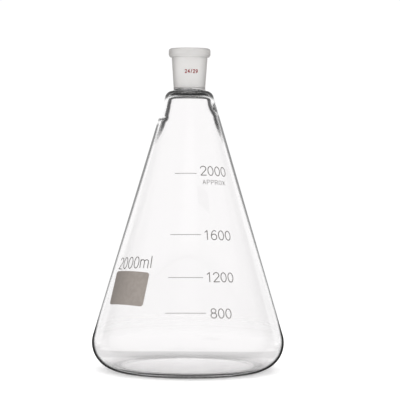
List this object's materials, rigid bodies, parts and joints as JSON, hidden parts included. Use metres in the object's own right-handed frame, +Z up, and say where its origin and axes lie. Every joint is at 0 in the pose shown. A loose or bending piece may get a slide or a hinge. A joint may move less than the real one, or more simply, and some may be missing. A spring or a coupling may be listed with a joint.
{
  "type": "erlenmeyer flask",
  "caption": "Clear conical glass flask with a flat foot, rounded heel and shoulder, a frosted ground-joint socket with a beaded rim, an enamel volume scale and a matt marking spot.",
  "frame": {"origin": "centre of the foot plane, on the flask's axis", "axes": "+Z up the axis to the mouth; the printed scale faces -Y; +X is to the reader's right"},
  "size_m": [0.166, 0.166, 0.277],
  "materials": {
    "clear_glass": "clear blown borosilicate glass, fire polished",
    "ground_glass": "frosted all over, with a finely ground 1:10 bore",
    "grey_enamel": "thin fired grey-brown enamel print, satin",
    "spot_enamel": "fired enamel, matt enough for a pencil",
    "red_enamel": "thin fired red enamel print, satin"
  },
  "bodies": {
    "root": {"conical_body": "clear_glass", "seal_ring": "clear_glass", "ground_socket": "ground_glass", "graduation_line_800": "grey_enamel", "graduation_line_1200": "grey_enamel", "graduation_line_1600": "grey_enamel", "graduation_line_2000": "grey_enamel", "figures_800": "grey_enamel", "figures_1200": "grey_enamel", "figures_1600": "grey_enamel", "figures_2000": "grey_enamel", "approx_mark": "grey_enamel", "capacity_figures": "grey_enamel", "marking_spot": "spot_enamel", "joint_size_mark": "red_enamel"}
  },
  "joints": []
}
